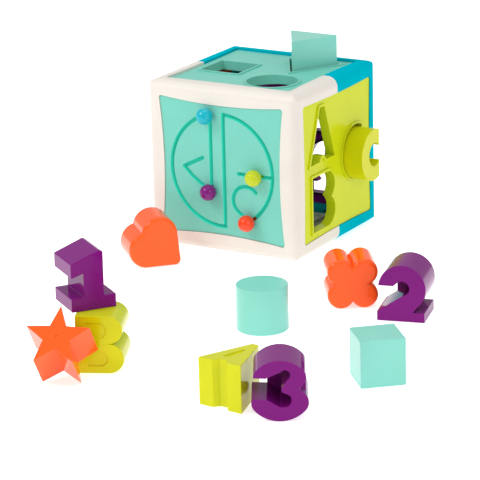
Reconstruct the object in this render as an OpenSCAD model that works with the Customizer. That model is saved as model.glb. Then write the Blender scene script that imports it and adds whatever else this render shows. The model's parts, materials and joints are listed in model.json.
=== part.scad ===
// Shape sorter cube with a bead maze, four hole panels, a trapdoor and twelve loose blocks.
// Millimetres, +Z up. The origin is the middle of the cube's underside.
// The bead maze faces -Y, the letter panel +X, the shape panel +Z, the number panel +Y,
// the charm panel -X and the trapdoor -Z.

/* [Cube] */
// Outside length of each side of the cube
cube_size = 160; // [140:5:200]
// Radius on the cube's outer edges
edge_radius = 10; // [6:0.5:16]
// Wall thickness of the two frame halves
wall = 3; // [2:0.5:4]
// Where the two frame halves meet, measured from the middle
split_y = 1; // [-5:0.5:5]
// Half the length of a window in the frame
window_half = 66.4; // [60:0.2:68]
// How far the long sides of the maze window bow inward
maze_bow = 4.2; // [0:0.2:6]
// How far the sides of the other windows bow inward
side_bow = 1.6; // [0.4:0.2:4]
// Radius of a window's corners
window_radius = 4; // [2:0.5:8]

/* [Panels] */
// How far the side panels sit back from the frame's face
panel_recess = 1; // [0.5:0.25:2]
// How far the top panel sits back from the frame's face
top_recess = 2.2; // [1:0.2:3]
// Gap round a panel in its window
panel_gap = 0.25; // [0.15:0.05:0.5]
// Room round a block in its hole
hole_room = 1.6; // [1:0.1:2.5]
// Width of the raised rim round a hole
rim_width = 2.2; // [1.5:0.1:3]
// Height of the raised rim above its panel
rim_height = 1.5; // [0.5:0.1:2.5]
// Depth of the collar behind a hole
collar_depth = 8; // [6:0.5:14]

/* [Bead maze] */
// Radius of the round track
track_radius = 54; // [50:0.5:56]
// Width of the track's slot
slot_width = 3.6; // [3:0.1:4.5]
// Radius of a bead
bead_radius = 7.8; // [6:0.1:8]

/* [Blocks] */
// Thickness of every block
block_depth = 40; // [35:1:45]
// How thick the wall is that closes the back of the openings in the 2 and the 3
web = 2; // [1:0.5:4]
// Height of the letters
letter_height = 49.5; // [45:0.5:52]
// Side of the square block
square_side = 37.8; // [34:0.2:40]
// Diameter of the round block
round_diameter = 45.2; // [40:0.2:47]
// Side of the triangular block
triangle_side = 50; // [44:0.5:52]
// Tip radius of the star block
star_radius = 27.6; // [24:0.2:28]
// How far the letter C block stands out of its hole
letter_c_out = 20; // [5:1:35]
// How far the triangular block stands out of its hole
triangle_out = 27.4; // [5:0.2:30]

/* [Hidden] */
$fn = 96;
half = cube_size / 2;
inner_half = half - wall;
flange_top = inner_half - 0.05;
flange_bottom = inner_half - 2;
flange_half = window_half + 3.6;
post_offset = 70.3;
post_radius = 4.6;
screw_radius = 1.5;
hinge_y = 61;
hinge_z = 3.75;
door_bottom = 2.5;
door_top = 5;
door_half = 64.6;
door_rear = 57.5;
barrel_radius = 2.8;
pin_radius = 1.5;
running_gap = 0.05;
stem_radius = 1.5;
bead_back = -79.4;
bead_centre = -86.2;
disc_front = -74.6;
disc_back = -73.1;
backplate_front = -71.8;
backplate_back = -69.8;
backplate_half = 61;
maze_screw_offset = 56;
join = 0.3;
// How far a straight edge is tucked inside the round end that it runs into
tuck = 0.02;

// Middle of each hole on its own panel, x to the right and y up as seen from outside
square_at = [-33.8, -3];
circle_at = [30.4, -34.7];
triangle_at = [28.7, 35.4];
letter_a_at = [-30.3, 32.8];
letter_b_at = [-28.4, -31.9];
letter_c_at = [35.5, 0];
digit_1_at = [-32, 31.5];
digit_2_at = [-32, -31.5];
digit_3_at = [33, 0];
heart_at = [-31.5, 33];
flower_at = [-31.5, -31.5];
star_at = [31.5, 0];

ivory = [0.92, 0.88, 0.85];
turquoise = [0.0, 0.72, 0.78];
aqua = [0.51, 0.84, 0.78];
deep_aqua = [0.18, 0.75, 0.65];
lime = [0.8, 0.84, 0.2];
purple = [0.52, 0.13, 0.5];
orange = [1.0, 0.42, 0.22];
steel = [0.7, 0.7, 0.72];

// ---------- plain helpers ----------

function unit(v) = v / norm(v);

// A closed outline, listed anticlockwise, moved outward by g along every side
function grown(p, g) = [
    for (i = [0 : len(p) - 1])
        let (
            before = p[(i + len(p) - 1) % len(p)],
            after = p[(i + 1) % len(p)],
            e1 = unit(p[i] - before),
            e2 = unit(after - p[i]),
            n1 = [e1[1], -e1[0]],
            n2 = [e2[1], -e2[0]]
        )
        p[i] + (n1 + n2) * g / (1 + n1 * n2)
];

// A cube with all its edges rounded: three rounded prisms crossed
module rounded_box(h, r) {
    intersection() {
        linear_extrude(2 * h, center = true) rounded_rect(h, h, r);
        rotate([90, 0, 0]) linear_extrude(2 * h, center = true) rounded_rect(h, h, r);
        rotate([0, 90, 0]) linear_extrude(2 * h, center = true) rounded_rect(h, h, r);
    }
}

module rounded_rect(hx, hy, r) {
    square([2 * hx, 2 * (hy - r)], center = true);
    square([2 * (hx - r), 2 * hy], center = true);
    for (a = [-1, 1]) for (b = [-1, 1])
        translate([a * (hx - r), b * (hy - r)]) circle(r = r);
}

// A square window whose four sides bow inward
module window_shape(h, bow, r) {
    big = (h * h + bow * bow) / (2 * bow);
    difference() {
        rounded_rect(h, h, r);
        for (a = [0 : 90 : 270]) rotate(a)
            translate([h - bow + big, 0]) circle(r = big, $fn = 720);
    }
}

// Places children on a face of the cube: x to the right, y up, z outward from the cube's middle
module on_face(name) {
    turn = name == "front" ? [90, 0, 0]
         : name == "right" ? [90, 0, 90]
         : name == "back" ? [90, 0, 180]
         : name == "left" ? [90, 0, 270]
         : name == "bottom" ? [180, 0, 0]
         : [0, 0, 0];
    translate([0, 0, half]) rotate(turn) children();
}

// Stands an outline up on the floor with its front face at y = 0 and its depth going back
module upright(at, yaw) {
    translate(at) rotate([0, 0, yaw]) rotate([90, 0, 0]) translate([0, 0, -block_depth]) children();
}

// ---------- outlines of the blocks; g is how much larger the hole is ----------

module square_outline(g) {
    square(square_side + 2 * g, center = true);
}

module circle_outline(g) {
    circle(d = round_diameter + 2 * g);
}

module triangle_outline(g) {
    r = triangle_side / sqrt(3);
    polygon(grown([for (i = [0 : 2]) r * [cos(270 + 120 * i), sin(270 + 120 * i)]], g));
}

heart_lobe = 17;
heart_half = 9;
heart_drop = 27.7;
heart_tip = 5;
heart_lean = acos((heart_lobe - heart_tip) / norm([heart_half, heart_drop]));
heart_side = atan2(-heart_drop, heart_half) - heart_lean;

module heart_outline(g) {
    n = [cos(heart_side), sin(heart_side)];
    lobe = [-heart_half, 0] + (heart_lobe + g - tuck) * n;
    tip = [0, -heart_drop] + (heart_tip + g - tuck) * n;
    for (s = [-1, 1]) translate([s * heart_half, 0]) circle(r = heart_lobe + g);
    translate([0, -heart_drop]) circle(r = heart_tip + g);
    polygon([lobe, tip, [-tip[0], tip[1]], [-lobe[0], lobe[1]], [heart_half, 0], [-heart_half, 0]]);
}

module star_outline(g) {
    inner = star_radius * 0.42;
    pts = [for (i = [0 : 9])
        let (r = i % 2 == 0 ? star_radius : inner, a = 90 + 36 * i)
        [r * cos(a), r * sin(a)]];
    polygon(grown(pts, g));
}

// The star's hole and rim stop just past the block's tips
module star_hole(g) {
    intersection() {
        star_outline(g);
        circle(r = star_radius + g);
    }
}

flower_lobe = 12;
flower_offset = 10.3;

module flower_outline(g) {
    square(2 * flower_offset, center = true);
    for (a = [-1, 1]) for (b = [-1, 1])
        translate([a * flower_offset, b * flower_offset]) circle(r = flower_lobe + g);
}

module letter_a_outline(g) {
    h = letter_height - 1;
    pts = [[-21, 0], [-7.3, 0], [-3.4, 5.2], [3.4, 5.2], [7.3, 0], [21, 0], [3.2, h], [-3.2, h]];
    translate([0, -h / 2]) polygon(grown(pts, g));
}

module letter_b_outline(g) {
    h = letter_height;
    low = 0.2565 * h;
    high = h / 2 - low;
    upper = 0.2435 * h;
    translate([-6.5, 0]) square([27 + 2 * g, h + 2 * g], center = true);
    translate([7, -h / 2 + low]) circle(r = low + g);
    translate([7, h / 2 - upper]) circle(r = upper + g);
}

c_outer = 25;
c_inner = 11.3;
c_cut = 10.5;
c_neck = 6.8;

module letter_c_outline(g) {
    difference() {
        circle(r = c_outer + g);
        translate([c_cut + g, -50]) square([50, 100]);
        translate([1.5, 0]) circle(r = c_inner - g);
        translate([1.5, -c_neck + g]) square([50, 2 * (c_neck - g)]);
    }
}

module digit_1_outline(g) {
    pts = [[-19.5, 0], [19.5, 0], [19.5, 11.4], [9.3, 11.4], [9.3, 49], [6, 50.5], [-19.2, 41.2],
           [-19.2, 29], [-8.3, 32.2], [-8.3, 11.4], [-19.5, 11.4]];
    translate([0, -25.25]) polygon(grown(pts, g));
}

module digit_2_outline(g) {
    opening = [[-9, 2.43], [22, 23], [23, 29.6], [18.4, 35.2], [14.3, 31.6], [-9, 31.6]];
    leg = [[1.5, 4], [31.5, 4], [31.5, 8.4], [41.9, 23.5], [36, 30], [22, 30], [1.5, 13]];
    translate([-20.85, -25.25]) {
        difference() {
            union() {
                translate([21.9, 29.6]) circle(r = 20.9 + g);
                polygon(grown(leg, g));
            }
            polygon(grown(opening, -g));
            translate([21.9, 29.6]) circle(r = 6.6 - g);
        }
        translate([-g, -g]) square([41.7 + 2 * g, 8.4 + 2 * g]);
    }
}

// The 2 without its opening
module digit_2_body(g) {
    translate([21.9 - 20.85, 29.6 - 25.25]) circle(r = 20.9 + g);
    translate([-20.85 - g, -25.25 - g]) square([41.7 + 2 * g, 8.4 + 2 * g]);
    translate([-18, -20]) square([34, 20]);
}

// The 2 with its opening closed from the hook's tip inward
module digit_2_closed(g) {
    digit_2_outline(g);
    intersection() {
        translate([1, 4.4]) circle(r = 20);
        translate([-11.1 - g, -20]) square([30, 45]);
    }
}

// An oval of four arcs: half width a, half height b, end radius e
module oval(a, b, e) {
    big = (a * a + b * b - 2 * a * e) / (2 * (b - e));
    aim = unit([a - e, big - b]);
    touch = big * aim - [0, big - b];
    intersection() {
        translate([0, b - big]) circle(r = big);
        translate([0, big - b]) circle(r = big);
        square([2 * touch[0], 2 * b + 2], center = true);
    }
    for (s = [-1, 1]) translate([s * (a - e), 0]) circle(r = e);
}

module digit_3_outline(g) {
    opening = [[-30, 18.6], [-10, 17.9], [-0.3, 11.8], [3, 11.7], [8.5, 14.5], [8.2, 21], [1.3, 24.2],
               [1.3, 27.7], [7.6, 36], [0.8, 40.6], [-11, 35.4], [-30, 36.6]];
    difference() {
        digit_3_body(g);
        translate([0, -25]) {
            polygon(grown(opening, -g));
            translate([4.2, 38]) circle(r = 4.2 - g);
            translate([3.5, 17.2]) circle(r = 5.6 - g);
        }
    }
}

// The 3 with its openings closed from its left ends inward
module digit_3_closed(g) {
    digit_3_outline(g);
    intersection() {
        digit_3_body(g);
        translate([-10.1 - g, -20]) square([25, 38]);
    }
}

// The 3 without its openings
module digit_3_body(g) {
    translate([0, 15.5 - 25]) oval(22.5 + g, 15.5 + g, 10 + g);
    translate([0, 36 - 25]) oval(20.7 + g, 14 + g, 9 + g);
}

// ---------- frame ----------

module frame_shell() {
    translate([0, 0, half]) difference() {
        rounded_box(half, edge_radius);
        rounded_box(inner_half, edge_radius - wall);
    }
}

module window_cuts() {
    for (f = ["front", "back"]) on_face(f) translate([0, 0, half - 8])
        linear_extrude(20) window_shape(window_half, maze_bow, window_radius);
    for (f = ["left", "right", "top"]) on_face(f) translate([0, 0, half - 8])
        linear_extrude(20) window_shape(window_half, side_bow, window_radius);
    on_face("bottom") translate([0, 0, half - 8])
        linear_extrude(20) rounded_rect(65, 65, window_radius);
}

module posts(from, to) {
    for (a = [-1, 1]) for (b = [-1, 1])
        translate([a * post_offset, from, half + b * post_offset]) rotate([-90, 0, 0])
            cylinder(r = post_radius, h = to - from);
}

module post_bores(r, from, to) {
    for (a = [-1, 1]) for (b = [-1, 1])
        translate([a * post_offset, from, half + b * post_offset]) rotate([-90, 0, 0])
            cylinder(r = r, h = to - from);
}

// Snap hooks behind the flange of the front or back panel
module panel_hooks() {
    for (turn = [0 : 90 : 270]) rotate(turn) for (s = [-32, 32]) {
        translate([flange_half + 0.4, s - 4, flange_bottom - 2]) cube([1.8, 8, inner_half - flange_bottom + 2.1]);
        translate([flange_half - 1.6, s - 4, flange_bottom - 2]) cube([3.8, 8, 1.9]);
    }
}

module front_frame() {
    color(ivory) difference() {
        union() {
            difference() {
                intersection() {
                    frame_shell();
                    translate([-half, -half, 0]) cube([cube_size, half + split_y, cube_size]);
                }
                window_cuts();
            }
            posts(-inner_half - join, split_y);
            on_face("front") panel_hooks();
            // stops that keep the trapdoor from swinging inward
            for (x = [-42, 30]) translate([x, -68, 0]) {
                translate([0, 0, 2]) cube([12, 2.8, 5.1]);
                translate([0, 0, door_top + 0.1]) cube([12, 5.5, 2]);
            }
        }
        post_bores(screw_radius, -14, split_y + 1);
    }
}

// Strip inside the seam that lines the two halves up
module seam_strip(outer, from, to) {
    intersection() {
        difference() {
            translate([-outer, from, half - outer]) cube([2 * outer, to - from, 2 * outer]);
            translate([-75.3, from - 1, half - 75.3]) cube([150.6, to - from + 2, 150.6]);
            translate([-71, from - 1, -1]) cube([142, to - from + 2, cube_size + 2]);
            translate([-half, from - 1, half - 71]) cube([cube_size, to - from + 2, 142]);
        }
        translate([0, 0, half]) rounded_box(outer, edge_radius - half + outer);
    }
}

module seam_tongue() {
    seam_strip(inner_half - 0.2, split_y - 4, split_y + 0.5);
    seam_strip(inner_half + join, split_y + 0.01, split_y + 4);
}

module rear_frame() {
    color(turquoise) difference() {
        union() {
            difference() {
                intersection() {
                    frame_shell();
                    translate([-half, split_y, 0]) cube([cube_size, half - split_y, cube_size]);
                }
                window_cuts();
            }
            difference() {
                seam_tongue();
                posts(-half, split_y + 0.005);
            }
            posts(split_y, inner_half + join);
            on_face("back") panel_hooks();
            // ears that carry the trapdoor's pins
            for (x = [-50.4, -33.6, 29.6, 46.4]) translate([x, 0, 0]) {
                translate([0, hinge_y, hinge_z]) rotate([0, 90, 0]) cylinder(r = 3, h = 4);
                translate([0, hinge_y, hinge_z - 3]) cube([4, 6, 6]);
            }
        }
        post_bores(3.4, 12, half + 1);
        post_bores(1.7, split_y - 1, 13);
        for (x = [-51, 29]) translate([x, hinge_y, hinge_z]) rotate([0, 90, 0])
            cylinder(r = pin_radius, h = 22);
    }
}

module frame_screws() {
    color(steel) for (a = [-1, 1]) for (b = [-1, 1])
        translate([a * post_offset, 0, half + b * post_offset]) rotate([-90, 0, 0]) difference() {
            union() {
                translate([0, 0, 12]) cylinder(r = 3.1, h = 2.4);
                translate([0, 0, -11]) cylinder(r = screw_radius, h = 23.2);
            }
            translate([0, 0, 13.2]) rotate(45) {
                cube([3.6, 0.8, 3], center = true);
                cube([0.8, 3.6, 3], center = true);
            }
        }
}

// ---------- panels ----------

module plate(bow, recess) {
    translate([0, 0, flange_bottom]) linear_extrude(half - recess - flange_bottom)
        window_shape(window_half - panel_gap, bow, window_radius - panel_gap);
    translate([0, 0, flange_bottom]) linear_extrude(flange_top - flange_bottom)
        rounded_rect(flange_half, flange_half, 3);
}

module post_notches() {
    for (a = [-1, 1]) for (b = [-1, 1])
        translate([a * post_offset, b * post_offset, 0]) cylinder(r = post_radius + 0.5, h = half);
}

module collar(at, recess) {
    translate([at[0], at[1], half - recess - collar_depth])
        linear_extrude(collar_depth + rim_height) children();
}

module opening(at) {
    translate([at[0], at[1], half - 25]) linear_extrude(40) children();
}

module letter_panel() {
    color(lime) on_face("right") difference() {
        union() {
            plate(side_bow, panel_recess);
            collar(letter_a_at, panel_recess) letter_a_outline(hole_room + rim_width);
            collar(letter_b_at, panel_recess) letter_b_outline(hole_room + rim_width);
            collar(letter_c_at, panel_recess) letter_c_rim();
        }
        opening(letter_a_at) letter_a_outline(hole_room);
        opening(letter_b_at) letter_b_outline(hole_room);
        opening(letter_c_at) letter_c_outline(hole_room);
    }
}

// The C's rim goes round the outside; the tongue inside the letter stays solid
module letter_c_rim() {
    intersection() {
        circle(r = c_outer + hole_room + rim_width);
        translate([-50, -50]) square([50 + c_cut + hole_room + rim_width, 100]);
    }
}

module shape_panel() {
    color(aqua) on_face("top") difference() {
        union() {
            plate(side_bow, top_recess);
            collar(square_at, top_recess) square_outline(hole_room + rim_width);
            collar(circle_at, top_recess) circle_outline(hole_room + rim_width);
            collar(triangle_at, top_recess) triangle_outline(hole_room + rim_width);
        }
        opening(square_at) square_outline(hole_room);
        opening(circle_at) circle_outline(hole_room);
        opening(triangle_at) triangle_outline(hole_room);
    }
}

module number_panel() {
    color(purple) on_face("back") difference() {
        union() {
            plate(maze_bow, panel_recess);
            collar(digit_1_at, panel_recess) digit_1_outline(hole_room + rim_width);
            collar(digit_2_at, panel_recess) digit_2_body(hole_room + rim_width);
            collar(digit_3_at, panel_recess) digit_3_body(hole_room + rim_width);
        }
        post_notches();
        opening(digit_1_at) digit_1_outline(hole_room);
        opening(digit_2_at) digit_2_closed(hole_room);
        opening(digit_3_at) digit_3_closed(hole_room);
    }
}

module charm_panel() {
    color(orange) on_face("left") difference() {
        union() {
            plate(side_bow, panel_recess);
            collar(heart_at, panel_recess) heart_outline(hole_room + rim_width);
            collar(star_at, panel_recess) star_hole(hole_room + rim_width);
            collar(flower_at, panel_recess) flower_outline(hole_room + rim_width);
        }
        opening(heart_at) heart_outline(hole_room);
        opening(star_at) star_hole(hole_room);
        opening(flower_at) flower_outline(hole_room);
    }
}

// ---------- bead maze ----------

module stroke_end(at) {
    translate(at) circle(r = slot_width / 2 + tuck);
}

module stroke(a, b) {
    d = b - a;
    translate(a) rotate(atan2(d[1], d[0])) translate([0, -slot_width / 2]) square([norm(d), slot_width]);
    stroke_end(a);
    stroke_end(b);
}

module arc_stroke(centre, r, from, to) {
    reach = 2 * r;
    step = (to - from) / 4;
    translate(centre) intersection() {
        difference() {
            circle(r = r + slot_width / 2);
            circle(r = r - slot_width / 2);
        }
        polygon(concat([[0, 0]], [for (i = [0 : 4]) reach * [cos(from + i * step), sin(from + i * step)]]));
    }
}

function on_circle(centre, r, a) = centre + r * [cos(a), sin(a)];

mid_x = 2.5;
mid_angle = acos(mid_x / track_radius);
mid_reach = track_radius * sin(mid_angle);
left_x = -11.4;
left_angle = acos(left_x / track_radius);
left_top = track_radius * sin(left_angle);
left_low = -20.6;
arc_low = -57.4;
hook_at = [25.5, -26.5];
hook_radius = 14;
hook_from = 42;
hook_to = 235;
hook_foot = on_circle(hook_at, hook_radius, hook_to);

module maze_track() {
    arc_stroke([0, 0], track_radius, left_angle, 360 - mid_angle);
    arc_stroke([0, 0], track_radius, arc_low, mid_angle);
    stroke_end(on_circle([0, 0], track_radius, arc_low));
    stroke([mid_x, -mid_reach], [mid_x, mid_reach]);
    stroke([left_x, left_low], [left_x, left_top]);
    stroke([left_x, left_low], [-22.5, -15]);
    stroke([-22.5, -15], [-32, -8.3]);
    stroke([-32, -8.3], [-40.7, 0]);
    stroke([-40.7, 0], [-20.8, 10.1]);
    stroke([18, -1], [track_radius, -1]);
    arc_stroke(hook_at, hook_radius, hook_from, hook_to);
    stroke_end(on_circle(hook_at, hook_radius, hook_from));
    stroke(hook_foot, [29.09, -45.49]);
}

module maze_panel() {
    color(aqua) on_face("front") difference() {
        union() {
            difference() {
                plate(maze_bow, panel_recess);
                post_notches();
            }
            for (a = [-1, 1]) for (b = [-1, 1])
                translate([a * maze_screw_offset, b * maze_screw_offset, -backplate_front])
                    cylinder(r = 3.2, h = flange_bottom + backplate_front + join);
        }
        translate([0, 0, 60]) linear_extrude(40) maze_track();
        for (a = [-1, 1]) for (b = [-1, 1])
            translate([a * maze_screw_offset, b * maze_screw_offset, -backplate_front - 1])
                cylinder(r = 1.2, h = 5);
    }
}

module maze_backplate() {
    color(deep_aqua) on_face("front") difference() {
        translate([0, 0, -backplate_back]) linear_extrude(backplate_back - backplate_front)
            rounded_rect(backplate_half, backplate_half, 5);
        for (a = [-1, 1]) for (b = [-1, 1])
            translate([a * maze_screw_offset, b * maze_screw_offset, 60]) cylinder(r = 1.4, h = 20);
    }
}

module maze_screws() {
    color(steel) for (a = [-1, 1]) for (b = [-1, 1])
        on_face("front") translate([a * maze_screw_offset, b * maze_screw_offset, 0]) difference() {
            union() {
                translate([0, 0, -backplate_back - 1.7]) cylinder(r = 2.6, h = 1.7);
                translate([0, 0, -backplate_back - 0.1]) cylinder(r = 1.15, h = 5);
            }
            translate([0, 0, -backplate_back - 1.7]) rotate(45) {
                cube([3, 0.7, 1.8], center = true);
                cube([0.7, 3, 1.8], center = true);
            }
        }
}

// A round bead, its stem through the slot and the disc that keeps it there
module bead(x, z) {
    translate([x, 0, half + z]) {
        difference() {
            translate([0, bead_centre, 0]) sphere(r = bead_radius);
            translate([-20, bead_back, -20]) cube([40, 40, 40]);
        }
        translate([0, bead_back - join, 0]) rotate([-90, 0, 0])
            cylinder(r = stem_radius, h = disc_front - bead_back + 2 * join);
        translate([0, disc_front, 0]) rotate([-90, 0, 0]) cylinder(r = 4.5, h = disc_back - disc_front);
    }
}

module bead_turquoise() {
    color(turquoise) bead(track_radius * cos(104), track_radius * sin(104));
}

module bead_purple() {
    color(purple) bead(left_x, left_low);
}

module bead_lime() {
    color(lime) bead(37.4, -1);
}

module bead_orange() {
    color(orange) bead(track_radius * cos(arc_low), track_radius * sin(arc_low));
}

// ---------- trapdoor ----------

module trapdoor() {
    color(ivory) difference() {
        union() {
            translate([0, 0, door_bottom]) linear_extrude(door_top - door_bottom)
                intersection() {
                    rounded_rect(door_half, door_half, 4);
                    translate([-80, -80]) square([160, 80 + door_rear]);
                }
            for (x = [-46, 34]) translate([x, 0, 0]) {
                translate([0, door_rear - 1, door_bottom]) cube([12, hinge_y - door_rear + 1, door_top - door_bottom]);
                translate([0, hinge_y, hinge_z]) rotate([0, 90, 0]) cylinder(r = barrel_radius, h = 12);
            }
            // ribs that stiffen the door
            for (x = [-40, 38]) translate([x, -50, door_top - 0.1]) cube([2, 100, 3.1]);
            translate([-40, -52, door_top - 0.1]) cube([80, 2, 3.1]);
            translate([-40, 50, door_top - 0.1]) cube([80, 2, 3.1]);
        }
        for (x = [-46, 34]) translate([x - 1, hinge_y, hinge_z]) rotate([0, 90, 0])
            cylinder(r = pin_radius + running_gap, h = 14);
        // finger notch in the front edge
        translate([0, -door_half - 3, 0]) cylinder(r = 12, h = 20, center = true);
    }
}

module door_pins() {
    color(steel) for (x = [-50.4, 29.6]) translate([x, hinge_y, hinge_z]) rotate([0, 90, 0])
        cylinder(r = pin_radius, h = 20.8);
}

// ---------- blocks ----------

module prism() {
    linear_extrude(block_depth) children();
}

// Sinks a shallow shape into both faces of a block
module both_faces(depth) {
    translate([0, 0, block_depth - depth]) linear_extrude(depth + 1) children();
    translate([0, 0, -1]) linear_extrude(depth + 1) children();
}

module block_a() {
    color(lime) translate([205.4, -432.9, 0]) rotate(-6.4) translate([0, (letter_height - 1) / 2, 0])
        difference() {
            prism() letter_a_outline(0);
            both_faces(1.2) polygon([[-5.6, -11], [5.6, -11], [0.6, 9.5], [-0.6, 9.5]]);
        }
}

module b_counter(width, height) {
    translate([-11.6, -height / 2]) square([width - height / 2, height]);
    translate([-11.6 + width - height / 2, 0]) circle(r = height / 2);
}

module block_b() {
    color(lime) upright([57.4, -414.8, 0], 24.3) translate([20, letter_height / 2, 0])
        difference() {
            prism() letter_b_outline(0);
            both_faces(1) {
                translate([0, 12]) b_counter(17, 13.6);
                translate([1.2, -12.3]) b_counter(16.6, 12.4);
            }
        }
}

module block_c() {
    color(lime) on_face("right") translate([35.2, -1.3, half + letter_c_out - block_depth])
        prism() letter_c_outline(0);
}

module block_1() {
    color(purple) upright([63.2, -393.5, letter_height], 54.1) translate([0, 25.25, 0])
        prism() digit_1_outline(0);
}

module block_2() {
    color(purple) upright([217.1, -186.5, 0], 14.6) translate([20.85, 25.25, 0]) {
        prism() digit_2_outline(0);
        linear_extrude(web) digit_2_closed(0);
    }
}

module block_3() {
    color(purple) upright([260.9, -434.8, 0], 29.5) translate([0, 25, 0]) {
        prism() digit_3_outline(0);
        linear_extrude(web) digit_3_closed(0);
    }
}

module block_square() {
    color(aqua) translate([285.2, -316.8, 0]) rotate(41.8) prism() square_outline(0);
}

module block_circle() {
    color(aqua) translate([138.3, -247.8, 0]) prism() circle_outline(0);
}

module block_triangle() {
    color(aqua) on_face("top") translate([triangle_at[0], triangle_at[1], half + triangle_out - block_depth])
        prism() triangle_outline(0);
}

// Lies on the flat flank between its left lobe and its tip
module block_heart() {
    lean = -90 - heart_side;
    low = heart_half * sin(lean) + heart_lobe;
    color(orange) upright([-34.6, -146, low], 46) rotate(lean) prism() heart_outline(0);
}

// Leans back against the letter B with two points of its back face on the floor
module block_star() {
    tilt = 45.9;
    low_point = star_radius * cos(36);
    rise = block_depth * sin(tilt) + low_point * cos(tilt);
    color(orange) translate([63.4, -450.2, rise]) rotate([0, 0, 20.8]) rotate([90 - tilt, 0, 0])
        translate([0, 0, -block_depth]) difference() {
            prism() star_outline(0);
            both_faces(0.8) circle(r = 1.2);
        }
}

module block_flower() {
    color(orange) upright([185.1, -169.6, flower_offset + flower_lobe], 34.6) prism() flower_outline(0);
}

front_frame();
rear_frame();
maze_panel();
maze_backplate();
maze_screws();
letter_panel();
shape_panel();
number_panel();
charm_panel();
frame_screws();
trapdoor();
door_pins();
bead_turquoise();
bead_purple();
bead_lime();
bead_orange();
block_a();
block_b();
block_c();
block_1();
block_2();
block_3();
block_square();
block_circle();
block_triangle();
block_heart();
block_star();
block_flower();
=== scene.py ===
"""Looks for the shape-sorting cube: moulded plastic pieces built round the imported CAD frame."""

import json
import math

import bmesh
import bpy
from mathutils import Matrix, Vector


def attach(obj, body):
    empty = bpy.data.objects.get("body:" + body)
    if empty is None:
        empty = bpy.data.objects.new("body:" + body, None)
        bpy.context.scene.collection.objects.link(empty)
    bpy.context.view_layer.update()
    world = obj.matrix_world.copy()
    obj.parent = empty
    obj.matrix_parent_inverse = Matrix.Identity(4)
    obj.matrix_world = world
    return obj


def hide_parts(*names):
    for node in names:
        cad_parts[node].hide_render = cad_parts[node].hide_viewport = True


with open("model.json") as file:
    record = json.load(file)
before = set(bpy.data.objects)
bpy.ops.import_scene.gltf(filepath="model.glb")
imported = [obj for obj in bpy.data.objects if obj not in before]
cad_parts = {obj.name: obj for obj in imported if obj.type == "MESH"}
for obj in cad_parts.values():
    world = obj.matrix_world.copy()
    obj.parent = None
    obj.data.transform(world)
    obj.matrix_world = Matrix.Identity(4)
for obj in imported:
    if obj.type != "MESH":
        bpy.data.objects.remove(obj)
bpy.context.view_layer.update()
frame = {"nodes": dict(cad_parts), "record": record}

BODY_OF = {n: b for b, ns in frame["record"]["behaviour"]["bodies"].items() for n in ns}


# ---------- camera ----------

# Fitted to the photo: turn, height and tilt in degrees, place in metres, lens and sensor in mm
CAMERA_TURN, CAMERA_HEIGHT, CAMERA_TILT = 30.62, 17.27, -1.406
CAMERA_PLACE = (1.21270, -2.09795, 0.74442)
CAMERA_LENS, CAMERA_SENSOR = 197.46, 36


def place_camera():
    az, el, roll = (math.radians(a) for a in (CAMERA_TURN, CAMERA_HEIGHT, CAMERA_TILT))
    back = Vector((math.sin(az) * math.cos(el), -math.cos(az) * math.cos(el), math.sin(el)))
    level = (-back).cross(Vector((0, 0, 1))).normalized()
    rise = level.cross(-back)
    right = level * math.cos(roll) + rise * math.sin(roll)
    up = -level * math.sin(roll) + rise * math.cos(roll)
    cam = bpy.data.objects.new("camera", bpy.data.cameras.new("camera"))
    bpy.context.scene.collection.objects.link(cam)
    m = Matrix((right, up, back)).transposed().to_4x4()
    m.translation = Vector(CAMERA_PLACE)
    cam.matrix_world = m
    cam.data.sensor_width = CAMERA_SENSOR
    cam.data.lens = CAMERA_LENS
    cam.data.clip_start = 0.1
    cam.data.clip_end = 50
    bpy.context.scene.camera = cam


# ---------- materials ----------

def srgb(code):
    out = []
    for i in (0, 2, 4):
        c = int(code[i:i + 2], 16) / 255
        out.append(c / 12.92 if c <= 0.04045 else ((c + 0.055) / 1.055) ** 2.4)
    return (*out, 1.0)


def shade(colour, k):
    return (*[min(1.0, c * k) for c in colour[:3]], 1.0)


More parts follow.
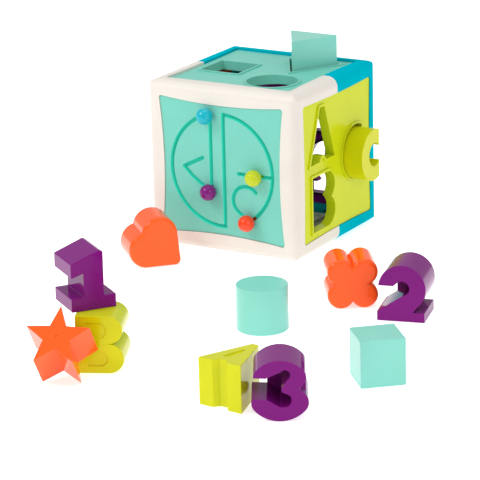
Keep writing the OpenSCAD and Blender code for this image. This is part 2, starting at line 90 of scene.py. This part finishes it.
def plastic(name, code, rough, specular, vary=0.04, peel=0.05, painted_glow=0.0):
    """Moulded plastic: faint flow marks in the colour, uneven gloss, a fine orange-peel skin and an optional
    painted glow in its own colour.
    """
    m = bpy.data.materials.new(name)
    m.use_nodes = True
    t = m.node_tree
    t.nodes.clear()
    new, link = t.nodes.new, t.links.new
    out = new("ShaderNodeOutputMaterial")
    p = new("ShaderNodeBsdfPrincipled")
    link(p.outputs[0], out.inputs[0])
    base = srgb(code)
    co = new("ShaderNodeTexCoord")
    flow = new("ShaderNodeTexNoise")
    flow.inputs["Scale"].default_value = 38
    flow.inputs["Detail"].default_value = 3
    flow.inputs["Distortion"].default_value = 0.6
    link(co.outputs["Object"], flow.inputs["Vector"])
    tone = new("ShaderNodeValToRGB")
    tone.color_ramp.elements[0].position = 0.3
    tone.color_ramp.elements[0].color = shade(base, 1 - vary)
    tone.color_ramp.elements[1].position = 0.7
    tone.color_ramp.elements[1].color = shade(base, 1 + vary)
    link(flow.outputs["Fac"], tone.inputs["Fac"])
    link(tone.outputs["Color"], p.inputs["Base Color"])
    fine = new("ShaderNodeTexNoise")
    fine.inputs["Scale"].default_value = 210
    fine.inputs["Detail"].default_value = 4
    link(co.outputs["Object"], fine.inputs["Vector"])
    gloss = new("ShaderNodeMapRange")
    gloss.inputs["To Min"].default_value = rough * 0.8
    gloss.inputs["To Max"].default_value = rough * 1.25
    link(fine.outputs["Fac"], gloss.inputs["Value"])
    link(gloss.outputs["Result"], p.inputs["Roughness"])
    skin = new("ShaderNodeTexNoise")
    skin.inputs["Scale"].default_value = 900
    skin.inputs["Detail"].default_value = 2
    link(co.outputs["Object"], skin.inputs["Vector"])
    bump = new("ShaderNodeBump")
    bump.inputs["Strength"].default_value = peel
    bump.inputs["Distance"].default_value = 0.0002
    link(skin.outputs["Fac"], bump.inputs["Height"])
    link(bump.outputs["Normal"], p.inputs["Normal"])
    p.inputs["Specular IOR Level"].default_value = specular
    # painted glow: the plastic gives off light in its own colour, though it is no lamp
    if painted_glow:
        p.inputs["Emission Color"].default_value = base
        p.inputs["Emission Strength"].default_value = painted_glow
    return m


def steel():
    """Zinc-plated screw steel with turning marks."""
    m = bpy.data.materials.new("screw_steel")
    m.use_nodes = True
    t = m.node_tree
    p = t.nodes["Principled BSDF"]
    p.inputs["Metallic"].default_value = 1
    co = t.nodes.new("ShaderNodeTexCoord")
    n = t.nodes.new("ShaderNodeTexNoise")
    n.inputs["Scale"].default_value = 1400
    n.inputs["Detail"].default_value = 3
    r = t.nodes.new("ShaderNodeMapRange")
    r.inputs["To Min"].default_value = 0.22
    r.inputs["To Max"].default_value = 0.45
    c = t.nodes.new("ShaderNodeValToRGB")
    c.color_ramp.elements[0].color = (0.42, 0.42, 0.44, 1)
    c.color_ramp.elements[1].color = (0.62, 0.62, 0.6, 1)
    t.links.new(co.outputs["Object"], n.inputs["Vector"])
    t.links.new(n.outputs["Fac"], r.inputs["Value"])
    t.links.new(n.outputs["Fac"], c.inputs["Fac"])
    t.links.new(r.outputs["Result"], p.inputs["Roughness"])
    t.links.new(c.outputs["Color"], p.inputs["Base Color"])
    return m


IVORY = plastic("ivory_satin", "DAD4CC", rough=0.42, peel=0.08, vary=0.015, specular=0.2)
TURQUOISE = plastic("turquoise_gloss", "00AABC", rough=0.32, specular=0.0)
AQUA = plastic("aqua_panel", "72C2B2", rough=0.32, vary=0.02, specular=0.15)
# Painted glow: the maze's groove walls give off light of their own colour, standing in for light reaching into
# the grooves.
GROOVE_PAINTED_GLOW = plastic("aqua_groove_painted_glow", "2DB59F", rough=0.4, vary=0.02, specular=0.1, painted_glow=0.55)
# The backplate's deep aqua is its real colour, with a painted glow added on top so it reads lit through the
# slots.
DEEP_AQUA_PAINTED_GLOW = plastic("deep_aqua", "2DB59F", rough=0.4, specular=0.1, painted_glow=0.55)
LIME_PANEL = plastic("lime_panel", "C3CC14", rough=0.2, vary=0.02, specular=0.12)
PURPLE_PANEL = plastic("purple_panel", "72106F", rough=0.2, specular=0.12)
ORANGE_PANEL = plastic("orange_panel", "FA5220", rough=0.2, specular=0.3)
# Painted shade: darker copies of the panel and frame colours for the inner faces, standing in for the shade
# inside the cube; the real plastic is one colour throughout.
PAINTED_SHADE_LIME = plastic("lime_painted_shade_inside", "50540A", rough=0.5, specular=0.05)
PAINTED_SHADE_AQUA = plastic("aqua_painted_shade_inside", "123C36", rough=0.5, specular=0.05)
PAINTED_SHADE_PURPLE = plastic("purple_painted_shade_inside", "1C041C", rough=0.5, specular=0.05)
PAINTED_SHADE_ORANGE = plastic("orange_painted_shade_inside", "541208", rough=0.5, specular=0.05)
PAINTED_SHADE_IVORY = plastic("ivory_painted_shade_inside", "2A2624", rough=0.5, specular=0.05)
PAINTED_SHADE_TURQUOISE = plastic("turquoise_painted_shade_inside", "022A30", rough=0.5, specular=0.05)
LIME = plastic("lime_block", "C6C80A", rough=0.16, vary=0.03, specular=0.18)
PURPLE = plastic("purple_block", "740C70", rough=0.1, vary=0.03, specular=0.14)
ORANGE = plastic("orange_block", "FE5A1C", rough=0.1, vary=0.03, specular=0.25)
AQUA_BLOCK = plastic("aqua_block", "7ECABB", rough=0.22, vary=0.02, peel=0.0, specular=0.35)
BEAD_T = plastic("bead_turquoise", "00A8B8", rough=0.08, specular=0.35)
BEAD_P = plastic("bead_purple", "74066E", rough=0.06, specular=0.35)
BEAD_L = plastic("bead_lime", "BCC81C", rough=0.08, specular=0.35)
BEAD_O = plastic("bead_orange", "EC421A", rough=0.08, specular=0.35)
STEEL = steel()

# node: material, width of the rounded edges in mm (0 keeps the CAD's own mesh), steps round each edge
LOOK = {
    "front_frame": (IVORY, 0.8, 3), "rear_frame": (TURQUOISE, 0.8, 3),
    "maze_panel": (AQUA, 0.6, 3), "maze_backplate": (DEEP_AQUA_PAINTED_GLOW, 0.4, 2), "maze_screws": (STEEL, 0, 0),
    "letter_panel": (LIME_PANEL, 0.5, 3), "shape_panel": (AQUA, 0.5, 3),
    "number_panel": (PURPLE_PANEL, 0.45, 3), "charm_panel": (ORANGE_PANEL, 0.45, 3),
    "frame_screws": (STEEL, 0, 0), "trapdoor": (IVORY, 0.5, 2), "door_pins": (STEEL, 0, 0),
    "bead_turquoise": (BEAD_T, 0, 0), "bead_purple": (BEAD_P, 0, 0),
    "bead_lime": (BEAD_L, 0, 0), "bead_orange": (BEAD_O, 0, 0),
    "block_a": (LIME, 0.9, 3), "block_b": (LIME, 0.9, 3), "block_c": (LIME, 0.7, 3),
    "block_1": (PURPLE, 0.7, 3), "block_2": (PURPLE, 0.6, 3), "block_3": (PURPLE, 0.6, 3),
    "block_square": (AQUA_BLOCK, 0.8, 3), "block_circle": (AQUA_BLOCK, 0.8, 3),
    "block_triangle": (AQUA_BLOCK, 0.6, 3),
    "block_heart": (ORANGE, 3.2, 6), "block_star": (ORANGE, 0.6, 3), "block_flower": (ORANGE, 3.4, 6),
}


# ---------- pieces ----------

MM = 0.001
WELD = 2e-6  # metres
FLAT_ANGLE = 0.2  # degrees; faces that meet flatter than this become one
SHARP_ANGLE = 28.0  # degrees; edges sharper than this are rounded
PUFFY_WIDTH = 2  # mm
END_FACE_CORNERS = 12

# Which neighbours share a corner's normal: the least cosine of the angle between two faces
ALIKE_FLAT = 0.87  # for a large face
ALIKE_ROUNDED = 0.2  # for a face of a rounded edge, among the large faces beside it
ALIKE_BETWEEN = 0.5  # for a face of a rounded edge with no such neighbour

def even_normals(me, added):
    """Keeps the large faces flat to their rims, and lets the rounded edges carry all the turning."""
    facing = [p.normal.copy() for p in me.polygons]
    size = [p.area for p in me.polygons]
    around = [[] for _ in me.vertices]
    for p in me.polygons:
        for v in p.vertices:
            around[v].append(p.index)
    out = [Vector((0, 0, 1))] * len(me.loops)
    for p in me.polygons:
        n = facing[p.index]
        new = added[p.index]
        for loop, v in zip(p.loop_indices, p.vertices):
            least = ALIKE_ROUNDED if new else ALIKE_FLAT
            near = [f for f in around[v] if not added[f] and facing[f].dot(n) > least]
            if new and not near:
                near = [f for f in around[v] if facing[f].dot(n) > ALIKE_BETWEEN]
            total = sum((facing[f] * size[f] for f in near), Vector())
            out[loop] = total.normalized() if total.length > 0 else n
    me.normals_split_custom_set(out)


def softened(node, width, steps):
    """A new piece from a CAD node: flat faces made whole, sharp edges rounded by width millimetres."""
    bm = bmesh.new()
    bm.from_mesh(frame["nodes"][node].data)
    bmesh.ops.remove_doubles(bm, verts=bm.verts, dist=WELD)
    bmesh.ops.dissolve_degenerate(bm, edges=bm.edges, dist=WELD)
    bmesh.ops.dissolve_limit(bm, angle_limit=math.radians(FLAT_ANGLE), verts=bm.verts, edges=bm.edges)
    bmesh.ops.recalc_face_normals(bm, faces=bm.faces)
    mark = bm.faces.layers.int.new("added")
    limit = math.radians(SHARP_ANGLE)
    sharp = [e for e in bm.edges if e.is_manifold and e.calc_face_angle() > limit]
    # a wide edge runs only round the block's two end faces, which are the ones with many corners
    puffy = width > PUFFY_WIDTH
    if puffy:
        sharp = [e for e in sharp if max(len(f.verts) for f in e.link_faces) > END_FACE_CORNERS]
    if sharp:
        made = bmesh.ops.bevel(bm, geom=sharp, offset=width * MM, offset_type="OFFSET", segments=steps,
                               profile=0.5, affect="EDGES", clamp_overlap=not puffy, loop_slide=False)
        for f in made["faces"]:
            f[mark] = 1
    bmesh.ops.recalc_face_normals(bm, faces=bm.faces)
    added = [bool(f[mark]) for f in bm.faces]
    me = bpy.data.meshes.new(node + "_look")
    bm.to_mesh(me)
    bm.free()
    for poly in me.polygons:
        poly.use_smooth = True
    even_normals(me, added)
    obj = bpy.data.objects.new(node + "_look", me)
    bpy.context.scene.collection.objects.link(obj)
    return obj


CUBE_MIDDLE = Vector((0, 0, 0.08))
INSIDE_REACH = 0.0738  # faces nearer the cube's middle than this, and turned toward it, are inside
GROOVE_REACH = 0.056  # the maze's grooves all lie within this of the panel's middle
FACES_FRONT = 0.9  # the maze panel's front and back faces turn at least this far toward the front or the back

# Painted shade: the darker copy of each shell's colour for its inner faces
INSIDE_PAINTED_SHADE = {
    "front_frame": PAINTED_SHADE_IVORY, "rear_frame": PAINTED_SHADE_TURQUOISE, "letter_panel": PAINTED_SHADE_LIME,
    "shape_panel": PAINTED_SHADE_AQUA, "number_panel": PAINTED_SHADE_PURPLE, "charm_panel": PAINTED_SHADE_ORANGE,
}


def dress(obj, material, node=""):
    """One material all over, then a darker one as painted shade inside the cube and a faintly glowing one as
    painted glow in the maze's grooves.
    """
    me = obj.data
    me.materials.clear()
    me.materials.append(material)
    # painted shade: inner faces turned toward the cube's middle take the darker copy of the shell's colour
    if node in INSIDE_PAINTED_SHADE:
        me.materials.append(INSIDE_PAINTED_SHADE[node])
        for p in me.polygons:
            off = p.center - CUBE_MIDDLE
            if max(abs(off.x), abs(off.y), abs(off.z)) < INSIDE_REACH and p.normal.dot(off) < 0:
                p.material_index = 1
    # painted glow: the maze panel's groove walls take the glowing groove material
    if node == "maze_panel":
        me.materials.append(GROOVE_PAINTED_GLOW)
        for p in me.polygons:
            off = p.center - CUBE_MIDDLE
            if abs(p.normal.y) < FACES_FRONT and max(abs(off.x), abs(off.z)) < GROOVE_REACH:
                p.material_index = 1


def build():
    for node, (material, width, steps) in LOOK.items():
        if not width:
            dress(frame["nodes"][node], material)
            continue
        obj = softened(node, width, steps)
        dress(obj, material, node)
        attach(obj, BODY_OF[node])
        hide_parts(node)


# ---------- studio ----------

WORLD_LIGHT = 0.62
FLOOR_HALF = 6  # metres
FLOOR_DROP = 0.0004  # below the part, so the two never share a plane
FLOOR_LIGHT = 0.6
AIM_WIDE = (0.05, -0.2, 0.05)  # the middle of the whole set
AIM_LOW = (0.05, -0.2, 0.0)
AIM_GLINT = (0.1, -0.25, 0.06)


def area_light(name, at, aim, size, power):
    data = bpy.data.lights.new(name, "AREA")
    data.shape = "RECTANGLE"
    data.size, data.size_y = size
    data.energy = power
    obj = bpy.data.objects.new(name, data)
    obj.location = at
    obj.rotation_mode = "QUATERNION"
    obj.rotation_quaternion = (Vector(aim) - Vector(at)).to_track_quat("-Z", "Y")
    bpy.context.scene.collection.objects.link(obj)


def studio():
    world = bpy.data.worlds.new("studio")
    bpy.context.scene.world = world
    world.use_nodes = True
    bg = world.node_tree.nodes["Background"]
    bg.inputs[0].default_value = (1, 1, 1, 1)
    bg.inputs[1].default_value = WORLD_LIGHT
    bm = bmesh.new()
    bmesh.ops.create_grid(bm, x_segments=2, y_segments=2, size=FLOOR_HALF)
    me = bpy.data.meshes.new("floor")
    bm.to_mesh(me)
    bm.free()
    floor = bpy.data.objects.new("floor", me)
    floor.location = (0, 0, -FLOOR_DROP)
    bpy.context.scene.collection.objects.link(floor)
    m = bpy.data.materials.new("floor")
    m.use_nodes = True
    p = m.node_tree.nodes["Principled BSDF"]
    p.inputs["Base Color"].default_value = (0.9, 0.9, 0.9, 1)
    p.inputs["Roughness"].default_value = 0.9
    p.inputs["Specular IOR Level"].default_value = 0
    p.inputs["Emission Color"].default_value = (1, 1, 1, 1)
    p.inputs["Emission Strength"].default_value = FLOOR_LIGHT
    me.materials.append(m)
    area_light("key", (-1.1, -1.6, 1.9), AIM_WIDE, (1.2, 0.9), 22)
    area_light("fill", (1.9, -0.9, 1.1), AIM_WIDE, (1.0, 1.0), 8)
    area_light("top", (0.1, 0.1, 2.2), AIM_LOW, (1.6, 1.6), 12)
    area_light("glint_left", (-0.7, -2.1, 1.7), AIM_GLINT, (0.14, 0.14), 3.4)
    area_light("glint_right", (1.0, -2.3, 1.9), AIM_GLINT, (0.12, 0.16), 3.0)


bpy.context.scene.view_settings.view_transform = "Standard"
place_camera()
build()
studio()
